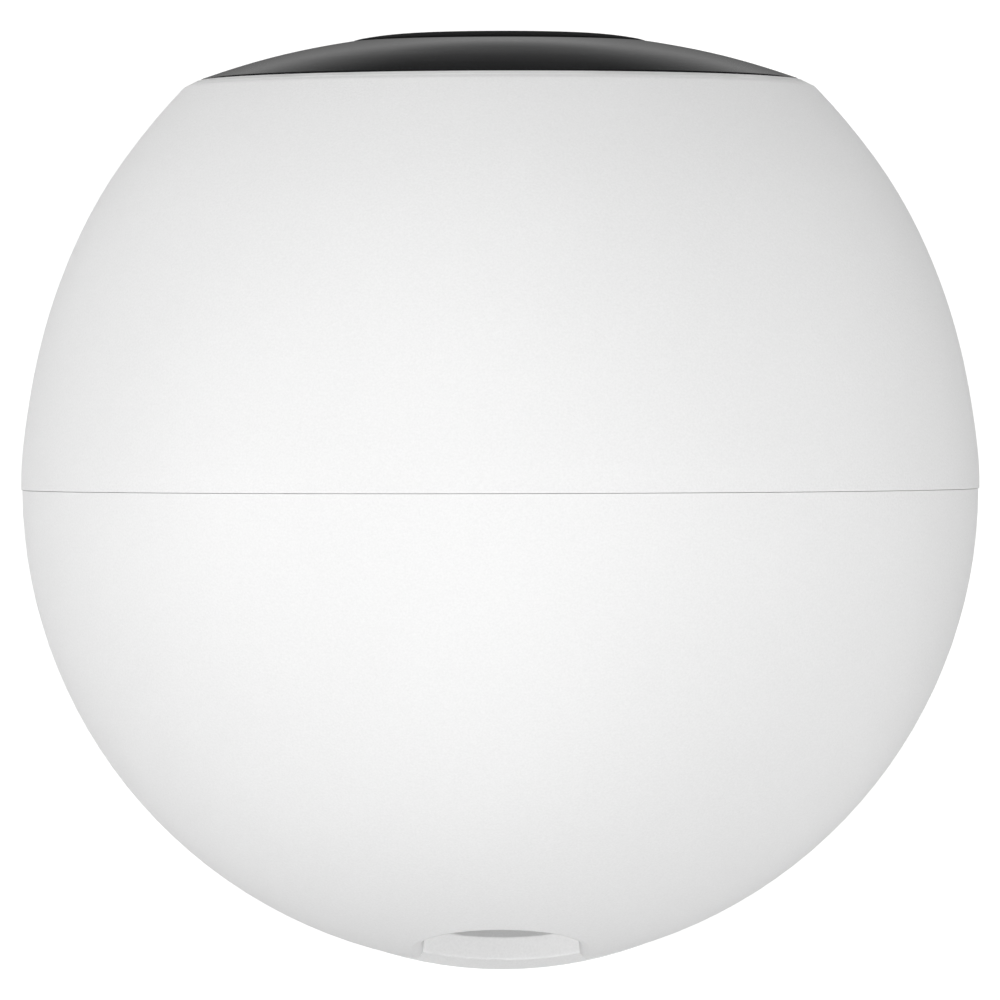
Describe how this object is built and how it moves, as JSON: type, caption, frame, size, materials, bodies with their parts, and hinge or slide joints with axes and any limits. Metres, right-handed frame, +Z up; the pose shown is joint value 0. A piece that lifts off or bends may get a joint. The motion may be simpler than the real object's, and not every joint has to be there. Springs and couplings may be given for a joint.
{
  "type": "indoor security camera",
  "caption": "Ball-shaped pan and tilt camera head with a dark round front and a rear slot for its neck, on a round dished base.",
  "frame": {"origin": "pan axis at the underside of the base, where it stands on a table", "axes": "+Z up along the pan axis, the lens looks along -Y at rest, +X to the right as seen from the front"},
  "size_m": [0.0802, 0.0812, 0.1101],
  "materials": {
    "shell_white": "fine spark-textured white moulding",
    "base_white": "fine spark-textured white moulding",
    "smoked_cover": "glossy smoked polycarbonate, infra-red clear",
    "bezel_black": "polished black moulding",
    "trim_smooth": "smooth light moulding",
    "lens_glass": "coated glass",
    "inner_grey": "grey inner moulding",
    "inner_black": "black inner moulding",
    "slot_grey": "light grey moulding behind the slot",
    "circuit_board": "green solder mask",
    "chip_black": "black epoxy package",
    "emitter_clear": "clear epoxy lens",
    "steel": "zinc plated",
    "tin_plate": "plated can",
    "brass": "turned",
    "aluminium": "extruded",
    "rubber_grey": "soft non-slip",
    "rubber_black": "soft",
    "gear_white": "natural acetal"
  },
  "bodies": {
    "base": {"base_housing": "base_white", "base_plate": "base_white", "foot_ring": "rubber_grey", "tripod_insert": "brass", "ballast_plate": "steel", "base_board": "circuit_board", "power_inlet": "tin_plate", "pan_motor": "tin_plate", "speaker": "inner_black", "base_screws": "steel", "thrust_washer": "gear_white"},
    "neck": {"neck_fork": "inner_grey", "slot_cover": "slot_grey", "pan_gear": "gear_white", "pan_gear_screws": "steel", "tilt_gear": "gear_white", "tilt_bushes": "brass", "neck_cable": "rubber_black"},
    "head": {"front_shell": "shell_white", "rear_shell": "shell_white", "inner_chassis": "inner_black", "chassis_screws": "steel", "front_bracket": "inner_black", "bracket_screws": "steel", "dome_cover": "smoked_cover", "cover_trim": "trim_smooth", "lens_bezel": "bezel_black", "lens_window": "lens_glass", "light_baffle": "rubber_black", "ir_board": "circuit_board", "ir_emitters": "emitter_clear", "light_sensor": "emitter_clear", "status_lamp": "emitter_clear", "microphone": "tin_plate", "lens_barrel": "inner_black", "front_element": "lens_glass", "lens_holder": "inner_black", "sensor_board": "circuit_board", "image_sensor": "chip_black", "filter_coil": "chip_black", "main_board": "circuit_board", "board_screws": "steel", "processor": "chip_black", "heat_sink": "aluminium", "wifi_module": "tin_plate", "wifi_antenna": "circuit_board", "sd_socket": "tin_plate", "side_board": "circuit_board", "setup_switch": "chip_black", "tilt_motor": "tin_plate", "tilt_pins": "steel"},
    "pan_pinion": {"pan_pinion": "gear_white"},
    "tilt_pinion": {"tilt_pinion": "gear_white"},
    "ir_filter": {"ir_filter_slide": "lens_glass"},
    "setup_button": {"setup_button": "shell_white"}
  },
  "joints": [
    {"name": "pan", "type": "hinge", "parent": "base", "child": "neck", "pos_m": [0, 0, 0], "axis": [0, 0, 1], "range_deg": [-170, 170]},
    {"name": "tilt", "type": "hinge", "parent": "neck", "child": "head", "pos_m": [0, -0.0067, 0.07], "axis": [-1, 0, 0], "range_deg": [-15, 90]},
    {"name": "pan_pinion_spin", "type": "hinge", "parent": "base", "child": "pan_pinion", "pos_m": [0, -0.0243, 0.016], "axis": [0, 0, 1], "range_deg": [-750, 750]},
    {"name": "tilt_pinion_spin", "type": "hinge", "parent": "head", "child": "tilt_pinion", "pos_m": [-0.029, -0.0067, 0.0855], "axis": [-1, 0, 0], "range_deg": [-52, 309]},
    {"name": "filter_shift", "type": "slide", "parent": "head", "child": "ir_filter", "axis": [1, 0, 0], "range_m": [0, 0.0053]},
    {"name": "setup_press", "type": "slide", "parent": "head", "child": "setup_button", "axis": [0, 0, 1], "range_m": [0, 0.00035], "stiffness_N_per_m": 500, "springref_m": -0.001}
  ],
  "couplings": [
    {"joint": "pan_pinion_spin", "follows": "pan", "ratio": -4.4},
    {"joint": "tilt_pinion_spin", "follows": "tilt", "ratio": 3.4286}
  ]
}
